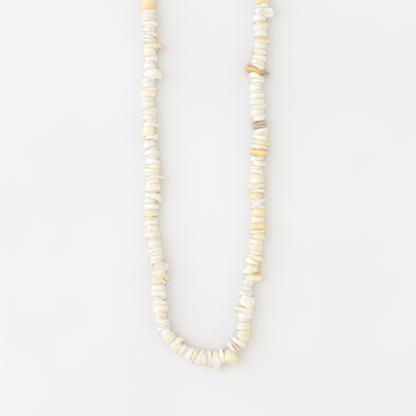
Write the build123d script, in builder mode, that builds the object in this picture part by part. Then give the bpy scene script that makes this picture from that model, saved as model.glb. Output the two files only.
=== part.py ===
from build123d import *

import os
from collections import namedtuple
from dataclasses import dataclass
from math import cos, pi, radians, sin, tan
from random import Random

# A puka shell necklace that lies closed on a table. X is across the loop, Y is up towards the
# clasp, Z is up, and the part stands at z = 0 with its origin at the middle of its footprint.
# Millimetres.

# Driving sizes
SHELL_ACROSS = 5.5          # usual width of a shell across the string
SHELL_TALL = 5.1            # usual height of a shell as it lies
SHELL_THICKNESS = 1.9       # usual length of thread that a shell takes
SHELL_GAP = 0.12            # daylight between two neighbours
BORE_HEIGHT = 0.51          # middle of the bore above the table, share of SHELL_TALL
THREAD_DIAMETER = 0.8
THREAD_SIDES = 8            # flats round the thread
BORE_CLEARANCE = 0.30       # room round the thread, on each side
CLASP_LENGTH = 13.0
CLASP_LIFT = 0.1            # daylight under the clasp, whose axis is the thread's
CLASP_CAP_DIAMETER = 3.4    # of the small cap at each end of the clasp
CLASP_CAP = 1.5             # length of each cap
CLASP_EDGE = 0.35           # rounding of the clasp's edges
CLASP_GRIP = 3.9            # how far each end of the thread goes into the clasp
CLASP_LEAD = 3.4            # straight thread past the clasp before its first bend
CLASP_PLACE = (-1.35, 140.7)

OUTLINE_CORNERS = 10        # corners of a shell's outline, an even number
BORE_CORNERS = 6
OUTLINE_UNEVEN = 0.09       # how far a corner strays, as a share of the half width
CORNER_WANDER = 0.2         # how far a corner strays round the outline, share of a corner's turn
ARC_SHARE = 0.45            # share of the shorter run that an arc of the string takes
ACROSS_SPREAD = (0.92, 1.07)    # least and most of a plain shell's charted width
THICK_SPREAD = (0.90, 1.10)     # least and most of its charted thickness
TALL_SPREAD = (0.90, 1.05)      # least and most of its height
NAMED_TALL_SPREAD = (0.95, 1.10)
SETTLE_PASSES = 3           # a leaning shell's lowest corner changes as it settles
PLAIN_LEAN = 5.0            # most that a plain shell leans, in degrees
PLAIN_SHIFT = 0.07          # most that a plain shell stands to one side, share of SHELL_ACROSS
PLAIN_LIFT = 0.2            # most that a plain shell stands off the table
LEAN_FADE = 0.55            # share of a leaning shell's lean that its next neighbour keeps

# The string's route on the table, from the clasp's left end down the left strand, round the
# bottom and up the right strand. The points beside the clasp follow from the clasp's own sizes.
ROUTE = (
    (-20.2, 135.0), (-24.6, 125.2), (-25.2, 112.5), (-24.7, 99.5),
    (-25.0, 87.0), (-24.4, 72.5), (-24.2, 58.0), (-24.8, 45.5), (-24.0, 28.5), (-23.4, 12.0),
    (-23.7, -3.0), (-22.9, -14.5), (-20.6, -24.5), (-20.8, -35.0), (-19.9, -46.0),
    (-16.6, -54.0), (-10.3, -59.6), (-2.0, -62.8), (6.6, -62.6), (13.2, -56.8), (15.4, -49.0),
    (15.0, -40.5), (17.1, -31.5), (18.7, -23.5), (20.9, -12.0), (21.2, -0.5), (20.3, 12.0),
    (21.2, 24.5), (21.7, 33.0), (20.5, 45.5), (20.4, 58.0), (21.8, 68.5), (22.5, 81.0),
    (22.3, 97.0), (22.5, 112.5), (21.9, 125.2), (17.5, 135.0),
)

# Plain shells, one letter each: the node that holds them, and their width and thickness as
# shares of SHELL_ACROSS and SHELL_THICKNESS.
Plain = namedtuple("Plain", "node across thick")
PLAIN = {
    "w": Plain(node="white_shells", across=1.03, thick=0.71),
    "W": Plain(node="white_shells", across=1.06, thick=1.02),
    "p": Plain(node="cream_shells", across=0.90, thick=0.55),
    "c": Plain(node="cream_shells", across=0.97, thick=0.93),
    "g": Plain(node="cream_shells", across=1.04, thick=1.55),
}
HIDDEN_ORDER = "wcWcwgwc"   # order that repeats along the stretch that has no named shells

# How a named shell narrows, seen from above: thickness left at its tip and the share of its
# half width that stays full, on its inner and outer side.
Form = namedtuple("Form", "inner_tip inner_full outer_tip outer_full")
SLAB = None
ROUND = Form(0.45, 0.45, 0.45, 0.45)
LENS = Form(0.15, 0.30, 0.15, 0.30)
WING_IN = Form(0.20, 0.15, 0.80, 0.60)
TAIL_IN = Form(0.45, 0.60, 0.80, 0.60)
WEDGE_IN = Form(0.50, 0.05, 0.95, 0.60)
TADPOLE = Form(0.50, 0.55, 0.15, 0.05)
WING_OUT = Form(0.80, 0.60, 0.20, 0.15)

# Shells that stand out, in stringing order. at: share of the thread's length; across and thick:
# shares of SHELL_ACROSS and SHELL_THICKNESS; tilt: turn seen from above, and nod: lean along
# the string, both in degrees; side: shift towards the inside of the loop, share of
# SHELL_ACROSS; then: the plain shells that follow it, repeated or cut where they don't fill
# the room that they have.
Named = namedtuple("Named", "name at across thick tilt nod side form then")
NAMED = [
    Named("left_yellow_block", 0.150, 1.02, 2.85, 0, 0, 0.00, SLAB, "wcWwcwcpw"),
    Named("left_tan_sliver", 0.186, 1.50, 0.70, -14, 0, 0.29, SLAB, "wgWcw"),
    Named("left_clear_round", 0.214, 1.40, 2.32, 0, 4, 0.25, ROUND, "wcw"),
    Named("left_peach_block", 0.2325, 1.20, 1.55, 0, 0, -0.11, SLAB, "WgwcWcw"),
    Named("left_yellow_cube", 0.267, 1.07, 2.00, 0, 0, -0.16, SLAB, "wpgpWcW"),
    Named("left_orange_nub", 0.300, 1.00, 1.22, 5, 0, 0.13, WING_OUT, "wc"),
    Named("left_tan_wing", 0.310, 1.45, 0.92, 3, 0, 0.27, TAIL_IN, "WgpW"),
    Named("left_peach_wedge", 0.332, 0.92, 1.20, -12, 0, -0.13, SLAB, "W"),
    Named("left_gold_round", 0.3435, 1.10, 1.88, 0, 0, -0.05, ROUND, ""),
    Named("left_orange_sliver", 0.3485, 1.07, 0.66, 0, 0, 0.00, SLAB, "WgWpgWWcw"),
    Named("left_clear_bump", 0.394, 1.18, 1.95, 6, -5, 0.24, ROUND, "w"),
    Named("left_yellow_chip", 0.402, 1.26, 1.44, -8, 0, 0.11, SLAB, "w"),
    Named("left_orange_chip", 0.408, 1.07, 0.95, -3, 0, -0.06, SLAB, "WgpWgwcwcwW"),
    Named("bottom_yellow_corner", 0.460, 1.00, 1.60, 0, 0, 0.00, SLAB, "pWcwcW"),
    Named("bottom_striped_chip", 0.489, 1.10, 1.28, -8, 0, 0.00, SLAB, "WcW"),
    Named("bottom_cream_drop", 0.509, 1.48, 1.88, 0, 0, -0.21, ROUND, "W"),
    Named("bottom_gold_round", 0.521, 1.30, 2.00, 0, 0, -0.34, ROUND, "w"),
    Named("bottom_brown_stripe", 0.531, 1.00, 1.10, 0, 0, 0.00, SLAB, "W"),
    Named("bottom_gold_wedge", 0.542, 1.05, 2.50, 6, 0, -0.08, WEDGE_IN, "wpcwW"),
    Named("right_cream_wing", 0.565, 1.48, 1.45, -16, 0, 0.10, WEDGE_IN, ""),
    Named("right_clear_rim", 0.574, 1.15, 2.32, 0, 5, -0.18, ROUND, "wpcpw"),
    Named("right_orange_tilt", 0.597, 1.37, 1.55, 8, 0, -0.28, WING_OUT, "w"),
    Named("right_orange_low", 0.606, 1.00, 1.66, -6, 0, 0.00, SLAB, "w"),
    Named("right_gold_low", 0.615, 1.22, 1.55, -8, 0, -0.16, WING_OUT, "w"),
    Named("right_peach_chip", 0.625, 1.02, 1.55, -9, 0, -0.04, SLAB, "w"),
    Named("right_gold_round", 0.635, 1.00, 2.10, 0, 0, -0.12, ROUND, "w"),
    Named("right_orange_block", 0.6438, 1.18, 1.88, 3, 0, 0.00, SLAB, "W"),
    Named("right_yellow_chip", 0.657, 1.00, 1.88, 0, 0, 0.05, SLAB, "wcw"),
    Named("right_brown_yellow", 0.673, 1.00, 1.66, 0, 0, 0.13, SLAB, "w"),
    Named("right_tan_lens", 0.682, 1.49, 1.44, 3, 0, 0.08, LENS, "W"),
    Named("right_orange_diagonal", 0.691, 1.07, 1.04, -13, 0, 0.00, SLAB, "wccW"),
    Named("right_amber_lens", 0.713, 1.53, 1.88, -3, 0, 0.00, LENS, "w"),
    Named("right_yellow_lens", 0.722, 1.30, 1.55, -8, 0, -0.12, LENS, "wcw"),
    Named("right_brown_banded", 0.738, 1.03, 1.88, 7, 0, 0.00, SLAB, "WgwgWcwcwW"),
    Named("right_amber_wing", 0.788, 1.93, 1.45, -22, 0, 0.00, TADPOLE, "wcW"),
    Named("right_grey_round", 0.806, 1.14, 1.55, 0, 0, 0.00, ROUND, "W"),
    Named("right_tan_wide", 0.817, 1.15, 1.60, -6, 0, -0.19, WING_OUT, "Wpw"),
    Named("right_orange_brown", 0.832, 0.97, 1.22, 5, 0, 0.00, SLAB, "wc"),
    Named("right_clear_disc", 0.8425, 1.20, 1.90, -6, 12, -0.36, ROUND, "w"),
    Named("right_yellow_top", 0.8535, 1.06, 1.75, 9, 0, 0.00, SLAB, HIDDEN_ORDER),
]

thread_height = BORE_HEIGHT * SHELL_TALL
bore_radius = (THREAD_DIAMETER / 2 + BORE_CLEARANCE) / cos(pi / BORE_CORNERS)
clasp_diameter = 2 * (thread_height - CLASP_LIFT)
chance = Random(7)


def route_points():
    """The route with its two ends inside the clasp and its straight leads past the clasp."""
    x, y = CLASP_PLACE
    end = CLASP_LENGTH / 2 - CLASP_GRIP
    lead = CLASP_LENGTH / 2 + CLASP_LEAD
    flat = [(x - end, y), (x - lead, y), *ROUTE, (x + lead, y), (x + end, y)]
    return [Vector(px, py, thread_height) for px, py in flat]


def corner_radii(points):
    """An arc at each corner that takes 0.45 of the shorter run beside it."""
    radii = []
    for before, corner, after in zip(points, points[1:], points[2:]):
        run_in, run_out = corner - before, after - corner
        half_turn = radians(run_in.get_angle(run_out) / 2)
        radii.append(ARC_SHARE * min(run_in.length, run_out.length) / tan(half_turn))
    return radii


points = route_points()
with BuildLine() as string_line:
    FilletPolyline(*points, radius=corner_radii(points))
string_wire = string_line.wires()[0]
string_length = string_wire.length


def string_plane(station, lean=(0.0, 0.0)):
    """Plane across the string: X to the loop's inside, Y up, Z along, then tilted and nodded."""
    tilt, nod = lean
    share = station / string_length
    along = string_wire.tangent_at(share).rotate(Axis.Z, tilt)
    across = Vector(0, 0, 1).cross(along)
    nodded = along.rotate(Axis((0, 0, 0), across), nod)
    return Plane(string_wire.position_at(share), x_dir=across, z_dir=nodded)


@dataclass
class Shell:
    """A shell as it is strung: its node, its sizes in millimetres, its lean in degrees and form."""

    node: str
    across: float
    tall: float
    thick: float
    tilt: float
    nod: float
    side: float
    lift: float
    form: Form = None
    named: bool = False


def plain_shell(letter):
    """A plain shell with a small lean, shift and size of its own."""
    kind = PLAIN[letter]
    return Shell(
        node=kind.node,
        across=kind.across * SHELL_ACROSS * chance.uniform(*ACROSS_SPREAD),
        tall=SHELL_TALL * chance.uniform(*TALL_SPREAD),
        thick=kind.thick * chance.uniform(*THICK_SPREAD),
        tilt=chance.uniform(-PLAIN_LEAN, PLAIN_LEAN),
        nod=chance.uniform(-PLAIN_LEAN, PLAIN_LEAN),
        side=chance.uniform(-PLAIN_SHIFT, PLAIN_SHIFT) * SHELL_ACROSS,
        lift=max(0.0, chance.uniform(-PLAIN_LIFT, PLAIN_LIFT)),
    )


def named_shell(row):
    """A shell that stands out, as its row says, resting on the table."""
    return Shell(
        node=row.name,
        across=row.across * SHELL_ACROSS,
        tall=SHELL_TALL * chance.uniform(*NAMED_TALL_SPREAD),
        thick=row.thick,
        tilt=row.tilt,
        nod=row.nod,
        side=row.side * SHELL_ACROSS,
        lift=0.0,
        form=row.form,
        named=True,
    )


def fill_room(order, room):
    """The plain shells' letters, repeated or cut so that they fill the room at usual thickness."""
    if not order:
        return ""
    charted = sum(PLAIN[letter].thick for letter in order) * SHELL_THICKNESS
    count = max(1, round(len(order) * room / charted))
    return [order[i % len(order)] for i in range(count)]


def string_shells():
    """Every shell in order, and the stations of the partings before, between and after them."""
    first = CLASP_GRIP + SHELL_GAP / 2
    last = string_length - first
    stops = [first] + [row.at * string_length for row in NAMED] + [last]
    orders = [HIDDEN_ORDER] + [row.then for row in NAMED]
    named = [named_shell(row) for row in NAMED]
    shells, partings = [], []
    for i, order in enumerate(orders):
        stretch = stops[i + 1] - stops[i]
        half_behind = named[i - 1].thick / 2 if i else 0.0
        half_ahead = named[i].thick / 2 if i < len(named) else 0.0
        room = stretch - (half_behind + half_ahead) * SHELL_THICKNESS
        plain = [plain_shell(letter) for letter in fill_room(order, room)]
        unit = stretch / (half_behind + sum(shell.thick for shell in plain) + half_ahead)
        station = stops[i] + half_behind * unit
        partings.append(station)
        for shell in plain:
            station += shell.thick * unit
            partings.append(station)
        shells += plain + named[i:i + 1]
    return shells, partings


def share_leans(shells):
    """Plain shells take part of the lean of the named shells near them."""
    leaning = [(i, shell) for i, shell in enumerate(shells) if shell.named]
    for i, shell in enumerate(shells):
        if not shell.named:
            for j, other in leaning:
                shell.tilt += other.tilt * LEAN_FADE ** abs(i - j)
                shell.nod += other.nod * LEAN_FADE ** abs(i - j)


def parting_lean(before, after):
    """Lean of the parting between two shells: a named shell keeps its own."""
    if before.named and not after.named:
        return before.tilt, before.nod
    if after.named and not before.named:
        return after.tilt, after.nod
    return (before.tilt + after.tilt) / 2, (before.nod + after.nod) / 2


def outline(shell, corners):
    """Corners of a shell's uneven oval outline, whose two side corners keep its width."""
    shape = []
    for i in range(corners):
        stray = 0 if i % (corners // 2) == 0 else 1
        angle = 2 * pi * (i + stray * chance.uniform(-CORNER_WANDER, CORNER_WANDER)) / corners
        reach = 1 + stray * chance.uniform(-OUTLINE_UNEVEN, OUTLINE_UNEVEN)
        shape.append((shell.across / 2 * reach * cos(angle), shell.tall / 2 * reach * sin(angle)))
    return shape


def stand(shape, lift, body, front, back):
    """The outline moved up or down so that the shell's lowest cut corner is at its lift."""
    for _ in range(SETTLE_PASSES):
        heights = []
        for x, y in shape:
            edge = body.from_local_coords(Vector(x, y, 0))
            for face in (front, back):
                run = (face.origin - edge).dot(face.z_dir) / body.z_dir.dot(face.z_dir)
                heights.append(edge.Z + run * body.z_dir.Z)
        rise = lift - min(heights)
        shape = [(x, y + rise) for x, y in shape]
    return shape


def plan_shape(form, half_across, half_thick):
    """Outline from above of a shell that narrows towards its sides: X inwards, Y along."""
    inner = half_thick * form.inner_tip
    outer = half_thick * form.outer_tip
    inner_slope = (half_thick - inner) / (half_across * (1 - form.inner_full))
    outer_slope = (half_thick - outer) / (half_across * (1 - form.outer_full))
    ridge = (inner - outer + half_across * (inner_slope - outer_slope))
    ridge /= inner_slope + outer_slope
    crest = inner + (half_across - ridge) * inner_slope
    half = [(half_across, inner), (ridge, crest), (-half_across, outer)]
    return half + [(x, -y) for x, y in reversed(half)]


def make_shell(shell, start, end, parting_start, parting_end):
    """One drilled shell between two partings, standing on the table."""
    bore = string_plane((start + end) / 2)
    leaning = shell.named and (shell.tilt or shell.nod)
    body = string_plane((start + end) / 2, (shell.tilt, shell.nod)) if leaning else bore
    front = parting_start.offset(SHELL_GAP / 2)
    back = parting_end.offset(-SHELL_GAP / 2)
    shape = [(x + shell.side, y) for x, y in outline(shell, OUTLINE_CORNERS)]
    shape = stand(shape, shell.lift, body, front, back)
    reach = (end - start) / 2 + shell.across

    with BuildPart() as chip:
        with BuildSketch(body.offset(-reach)):
            Polygon(*shape, align=None)
            if body is bore:
                RegularPolygon(bore_radius, BORE_CORNERS, mode=Mode.SUBTRACT)
        extrude(amount=2 * reach)
        split(bisect_by=front, keep=Keep.TOP)
        split(bisect_by=back, keep=Keep.BOTTOM)
        if shell.form:
            above = Plane(body.origin, x_dir=body.x_dir, z_dir=-body.y_dir)
            plan = plan_shape(shell.form, shell.across / 2, (end - start) / 2)
            with BuildSketch(above.offset(-shell.tall)):
                Polygon(*[(x + shell.side, y) for x, y in plan], align=None)
            extrude(amount=2 * shell.tall, mode=Mode.INTERSECT)
        if body is not bore:
            with BuildSketch(bore.offset(-reach)):
                RegularPolygon(bore_radius, BORE_CORNERS)
            extrude(amount=2 * reach, mode=Mode.SUBTRACT)
    return chip.part


shells, stations = string_shells()
share_leans(shells)
leans = [parting_lean(before, after) for before, after in zip(shells, shells[1:])]
partings = [string_plane(*spot) for spot in zip(stations, [(0, 0), *leans, (0, 0)])]
strung = {}
for i, shell in enumerate(shells):
    chip = make_shell(shell, stations[i], stations[i + 1], partings[i], partings[i + 1])
    strung.setdefault(shell.node, []).append(chip)

pieces = {}
for node, chips in strung.items():
    with BuildPart() as group:
        add(chips)
    pieces[node] = group.part

thread_section = THREAD_SIDES / 2 * sin(2 * pi / THREAD_SIDES) * (THREAD_DIAMETER / 2) ** 2
with BuildPart() as thread:
    with BuildSketch(Plane(string_wire @ 0, z_dir=string_wire % 0)):
        RegularPolygon(THREAD_DIAMETER / 2, THREAD_SIDES)
    sweep(path=string_wire)
pieces["thread"] = thread.part

clasp_line = Axis((*CLASP_PLACE, thread_height), (1, 0, 0))
with BuildPart() as clasp:
    with BuildSketch(Plane(clasp_line.position)):
        with Locations((0, clasp_diameter / 4)):
            Rectangle(CLASP_LENGTH - 2 * CLASP_CAP, clasp_diameter / 2)
        with Locations((0, CLASP_CAP_DIAMETER / 4)):
            Rectangle(CLASP_LENGTH, CLASP_CAP_DIAMETER / 2)
    revolve(axis=clasp_line)
    fillet(clasp.edges().filter_by(GeomType.CIRCLE).group_by(SortBy.RADIUS)[-1], CLASP_EDGE)
    for face in (clasp.faces().sort_by(Axis.X)[0], clasp.faces().sort_by(Axis.X)[-1]):
        with BuildSketch(Plane(face)):
            Circle(THREAD_DIAMETER / 2 + BORE_CLEARANCE)
        extrude(amount=-(CLASP_GRIP + 2 * BORE_CLEARANCE), mode=Mode.SUBTRACT)
pieces["clasp"] = clasp.part

box = Compound([solid for part in pieces.values() for solid in part.solids()]).bounding_box()
middle = box.center()
os.makedirs("parts", exist_ok=True)
for node, part in pieces.items():
    placed = part.moved(Location((-middle.X, -middle.Y, 0)))
    placed.label = node
    export_step(placed, f"parts/{node}.step")

print(len(shells), "shells on", round(string_length, 1), "mm of thread")
print("thread volume over section times length:",
      round(pieces["thread"].volume / (thread_section * string_length), 5))
print("footprint", [round(v, 2) for v in (*box.min, *box.max)])
print("bend radii", [round(radius, 1) for radius in corner_radii(points)])
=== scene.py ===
"""Looks of a puka shell necklace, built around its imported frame.

A closed string of small tumbled shells lies on a pale table. Thin white shells alternate with
cream ones, and forty shells stand out by their colour or their form. Lengths are in metres.
"""

import logging
from dataclasses import dataclass, field, replace
from enum import Enum
from math import atan2, cos, hypot, pi, radians, sin
from random import Random

import bpy
from mathutils import Euler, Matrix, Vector, noise
from mathutils.kdtree import KDTree


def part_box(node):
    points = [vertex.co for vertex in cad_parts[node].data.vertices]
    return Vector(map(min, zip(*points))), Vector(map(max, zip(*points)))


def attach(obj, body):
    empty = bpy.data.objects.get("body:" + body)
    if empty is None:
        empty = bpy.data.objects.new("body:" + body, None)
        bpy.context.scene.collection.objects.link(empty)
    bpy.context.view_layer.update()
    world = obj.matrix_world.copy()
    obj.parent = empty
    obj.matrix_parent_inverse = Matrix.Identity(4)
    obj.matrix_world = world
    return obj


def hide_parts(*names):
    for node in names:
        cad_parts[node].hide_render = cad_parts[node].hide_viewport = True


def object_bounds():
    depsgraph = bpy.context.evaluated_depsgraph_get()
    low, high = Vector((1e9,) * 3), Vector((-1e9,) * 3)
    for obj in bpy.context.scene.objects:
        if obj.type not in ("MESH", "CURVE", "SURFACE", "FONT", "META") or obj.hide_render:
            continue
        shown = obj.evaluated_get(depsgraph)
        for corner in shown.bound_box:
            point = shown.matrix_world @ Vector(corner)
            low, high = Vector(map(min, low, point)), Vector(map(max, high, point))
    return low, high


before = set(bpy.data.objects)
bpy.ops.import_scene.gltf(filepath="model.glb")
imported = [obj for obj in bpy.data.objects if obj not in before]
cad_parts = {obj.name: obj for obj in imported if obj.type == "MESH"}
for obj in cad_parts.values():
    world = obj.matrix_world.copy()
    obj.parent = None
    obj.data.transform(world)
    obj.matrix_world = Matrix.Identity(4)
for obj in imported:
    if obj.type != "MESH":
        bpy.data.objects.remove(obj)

LOG = logging.getLogger("necklace")
CAD_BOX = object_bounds()
MM = 0.001
BODY = "root"
FACING = 0.8  # cosine from which a face counts as square to a direction
HOLLOW_DETAIL = 2  # how many finer noises the noise of a shell's hollows holds
MIX_COLORS = (6, 7)  # the inputs of a mix node that take its two colours
MIX_RESULT = 2  # the output that gives the mixed colour

Tone = tuple[float, float, float, float]


def tone(red: int, green: int, blue: int) -> Tone:
    """A colour as it looks on a screen, made linear by the standard screen curve.

    Args:
        red: Red from 0 to 255.
        green: Green from 0 to 255.
        blue: Blue from 0 to 255.

    Returns:
        The linear colour, with full alpha.
    """
    shares = [part / 255 for part in (red, green, blue)]
    linear = [share / 12.92 if share <= 0.04045 else ((share + 0.055) / 1.055) ** 2.4
              for share in shares]
    return (*linear, 1.0)


FULL = (1.0, 1.0, 1.0, 1.0)  # leaves a colour that it multiplies as it is

# Natural shell tones
CHALK = tone(245, 244, 239)
IVORY = tone(245, 243, 236)
MILK = tone(246, 242, 231)
CREAM = tone(246, 241, 225)
SAND = tone(243, 236, 215)
BUTTER = tone(248, 239, 212)
YELLOW = tone(246, 230, 184)
GOLD = tone(242, 223, 176)
HONEY = tone(243, 217, 162)
ORANGE = tone(241, 207, 140)
PEACH = tone(245, 230, 213)
TAN = tone(230, 213, 184)
RUST = tone(216, 172, 122)
BROWN = tone(160, 122, 88)
UMBER = tone(132, 98, 74)
GREY = tone(233, 228, 213)
GLASSY = tone(240, 239, 229)


@dataclass
class Bench:
    """A node tree with short ways to add its nodes and join them.

    Attributes:
        tree: The tree that the nodes go in.
    """

    tree: bpy.types.NodeTree

    def add(self, kind: str, inputs: dict | None = None, **settings: object) -> bpy.types.Node:
        """Adds a node.

        Args:
            kind: The node's type, such as ShaderNodeMath.
            inputs: A number, colour or socket for each named or numbered input.
            settings: The node's own settings.

        Returns:
            The new node.
        """
        node = self.tree.nodes.new(kind)
        for name, value in settings.items():
            setattr(node, name, value)
        for name, value in (inputs or {}).items():
            self.feed(node.inputs[name], value)
        return node

    def feed(self, socket: bpy.types.NodeSocket, value: object) -> None:
        """Sets an input socket, or joins it to an output socket.

        Args:
            socket: The input socket.
            value: A number, a colour, or the output socket to join it to.
        """
        if isinstance(value, bpy.types.NodeSocket):
            self.tree.links.new(value, socket)
        else:
            socket.default_value = value

    def math(self, operation: str, first: object, second: object) -> bpy.types.NodeSocket:
        """The result of a sum on two numbers or sockets."""
        node = self.add("ShaderNodeMath", {0: first, 1: second}, operation=operation)
        return node.outputs[0]

    def spread(self, value: object, low: float, high: float, to_low: float = 0.0,
               to_high: float = 1.0) -> bpy.types.NodeSocket:
        """A value moved from one range to another, and kept inside it.

        Args:
            value: The number or socket to move.
            low: The value that becomes to_low.
            high: The value that becomes to_high.
            to_low: Result at the low end.
            to_high: Result at the high end.

        Returns:
            The socket with the result.
        """
        node = self.add("ShaderNodeMapRange", {"Value": value, "From Min": low, "From Max": high,
                                               "To Min": to_low, "To Max": to_high})
        return node.outputs["Result"]

    def noise(self, vector: object, scale: object, detail: float = 2.0,
              roughness: float = 0.5) -> bpy.types.NodeSocket:
        """Soft noise along a vector.

        Args:
            vector: The socket with the vector.
            scale: The noise's scale for one unit of the vector.
            detail: How many finer noises it holds.
            roughness: How strongly they show in it.

        Returns:
            The socket with the noise, from 0 to 1.
        """
        node = self.add("ShaderNodeTexNoise", {"Vector": vector, "Scale": scale, "Detail": detail,
                                               "Roughness": roughness})
        return node.outputs[0]

    def ramp(self, value: object, stops: tuple[tuple[float, Tone], ...],
             interpolation: str = "EASE") -> bpy.types.NodeSocket:
        """Colours along a value.

        Args:
            value: The socket that picks the colour, from 0 to 1.
            stops: Places and their colours, in rising order.
            interpolation: How one colour passes into the next.

        Returns:
            The socket with the colour.
        """
        node = self.add("ShaderNodeValToRGB", {0: value})
        node.color_ramp.interpolation = interpolation
        elements = node.color_ramp.elements
        while len(elements) < len(stops):
            elements.new(1.0)
        while len(elements) > len(stops):
            elements.remove(elements[-1])
        for element, (place, color) in zip(elements, stops):
            element.position = place
            element.color = color
        return node.outputs["Color"]

    def mix(self, share: object, first: object, second: object,
            blend: str = "MIX") -> bpy.types.NodeSocket:
        """Two colours mixed.

        Args:
            share: Share of the second colour, from 0 to 1.
            first: The first colour, or a socket that gives it.
            second: The second colour, or a socket that gives it.
            blend: How the second colour lies over the first.

        Returns:
            The socket with the mixed colour.
        """
        node = self.add("ShaderNodeMix", {0: share}, data_type="RGBA", blend_type=blend)
        for index, color in zip(MIX_COLORS, (first, second)):
            self.feed(node.inputs[index], color)
        return node.outputs[MIX_RESULT]

    def charted(self, name: str) -> bpy.types.NodeSocket:
        """One of the numbers that Fitting writes on a mesh."""
        return self.add("ShaderNodeAttribute", attribute_name=name).outputs["Fac"]

    def object_place(self) -> bpy.types.NodeSocket:
        """The place on the piece, in metres."""
        return self.add("ShaderNodeTexCoord").outputs["Object"]


def open_material(name: str) -> tuple[bpy.types.Material, Bench, bpy.types.Node]:
    """Opens a new material.

    Args:
        name: The material's name.

    Returns:
        The material, a bench for its nodes, and its shader.
    """
    made = bpy.data.materials.new(name)
    made.use_nodes = True
    return made, Bench(made.node_tree), made.node_tree.nodes["Principled BSDF"]


@dataclass
class NodeGroup:
    """A shader node group that several materials use, built once.

    Attributes:
        name: The group's name.
        inputs: Its number inputs and their usual values.
        outputs: Its outputs and their socket types.
    """

    name: str
    inputs: dict[str, float]
    outputs: dict[str, str]

    def tree(self) -> bpy.types.NodeTree:
        """The group's tree, built at its first use.

        Returns:
            The node tree.
        """
        found = bpy.data.node_groups.get(self.name)
        if found:
            return found
        made = bpy.data.node_groups.new(self.name, "ShaderNodeTree")
        for name, usual in self.inputs.items():
            socket = made.interface.new_socket(name, in_out="INPUT", socket_type="NodeSocketFloat")
            socket.default_value = usual
        for name, kind in self.outputs.items():
            made.interface.new_socket(name, in_out="OUTPUT", socket_type=kind)
        bench = Bench(made)
        entry = bench.add("NodeGroupInput")
        leave = bench.add("NodeGroupOutput")
        self.fill(bench, entry.outputs, leave.inputs)
        return made

    def fill(self, bench: Bench, entry: bpy.types.NodeOutputs,
             leave: bpy.types.NodeInputs) -> None:
        """Builds the nodes between the group's inputs and outputs.

        Args:
            bench: The group's bench.
            entry: The sockets that give the group's inputs.
            leave: The sockets that take its outputs.
        """
        raise NotImplementedError

    def place(self, bench: Bench, **values: object) -> bpy.types.NodeOutputs:
        """Puts the group in a material.

        Args:
            bench: The material's bench.
            values: A number or a socket for each input that isn't at its usual value.

        Returns:
            The group's output sockets.
        """
        node = bench.add("ShaderNodeGroup", node_tree=self.tree())
        for name, value in values.items():
            bench.feed(node.inputs[name.replace("_", " ")], value)
        return node.outputs


class LayersGroup(NodeGroup):
    """Where a point lies in the layers of its shell, and the fine growth lines between them.

    Attributes:
        WAVER_SCALE: Scale of the noise that wavers the layers, per metre.
        LINE_WAVER: How much more the lines waver than the layers.
        TINT_SHIFT: How far a shell's tint moves its lines in their noise.
        ACROSS_SCALE: Scale of the lines' noise across the shell, per metre.
        LINE_DETAIL: How many finer noises the lines' noise holds.
        LINE_ROUGHNESS: How strongly they show in it.
        LINE_EDGES: Noise values between which a line fades in.
    """

    WAVER_SCALE = 420.0
    LINE_WAVER = 4.0
    TINT_SHIFT = 47.0
    ACROSS_SCALE = 90.0
    LINE_DETAIL = 3.0
    LINE_ROUGHNESS = 0.62
    LINE_EDGES = (0.50, 0.68)

    def __init__(self) -> None:
        """Names the group's sockets."""
        super().__init__("shell_layers", {"Wobble": 0.25, "Line Count": 3.0},
                         {"Place": "NodeSocketFloat", "Lines": "NodeSocketFloat"})

    def fill(self, bench: Bench, entry: bpy.types.NodeOutputs,
             leave: bpy.types.NodeInputs) -> None:
        """Wavers the charted layer with soft noise, and draws lines along it.

        Args:
            bench: The group's bench.
            entry: The sockets that give the group's inputs.
            leave: The sockets that take its outputs.
        """
        layer = bench.charted("layer")
        spot = bench.object_place()
        soft = bench.math("SUBTRACT", bench.noise(spot, self.WAVER_SCALE), 0.5)
        waver = bench.math("MULTIPLY", soft, entry["Wobble"])
        middle = bench.add("ShaderNodeMath", {0: layer, 1: 0.5, 2: 0.5}, operation="MULTIPLY_ADD")
        bench.feed(leave["Place"], bench.math("ADD", middle.outputs[0], waver))
        run = bench.math("MULTIPLY", layer, entry["Line Count"])
        along = bench.math("ADD", run, bench.math("MULTIPLY", waver, self.LINE_WAVER))
        shift = bench.math("MULTIPLY", bench.charted("tint"), self.TINT_SHIFT)
        drawn = bench.add("ShaderNodeCombineXYZ", {0: along, 1: shift, 2: 0.0}).outputs[0]
        scale = (self.ACROSS_SCALE,) * 3
        across = bench.add("ShaderNodeVectorMath", {0: spot, 1: scale}, operation="MULTIPLY")
        vector = bench.add("ShaderNodeVectorMath", {0: drawn, 1: across.outputs[0]},
                           operation="ADD")
        lines = bench.noise(vector.outputs[0], 1.0, self.LINE_DETAIL, self.LINE_ROUGHNESS)
        bench.feed(leave["Lines"], bench.spread(lines, *self.LINE_EDGES))


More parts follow.
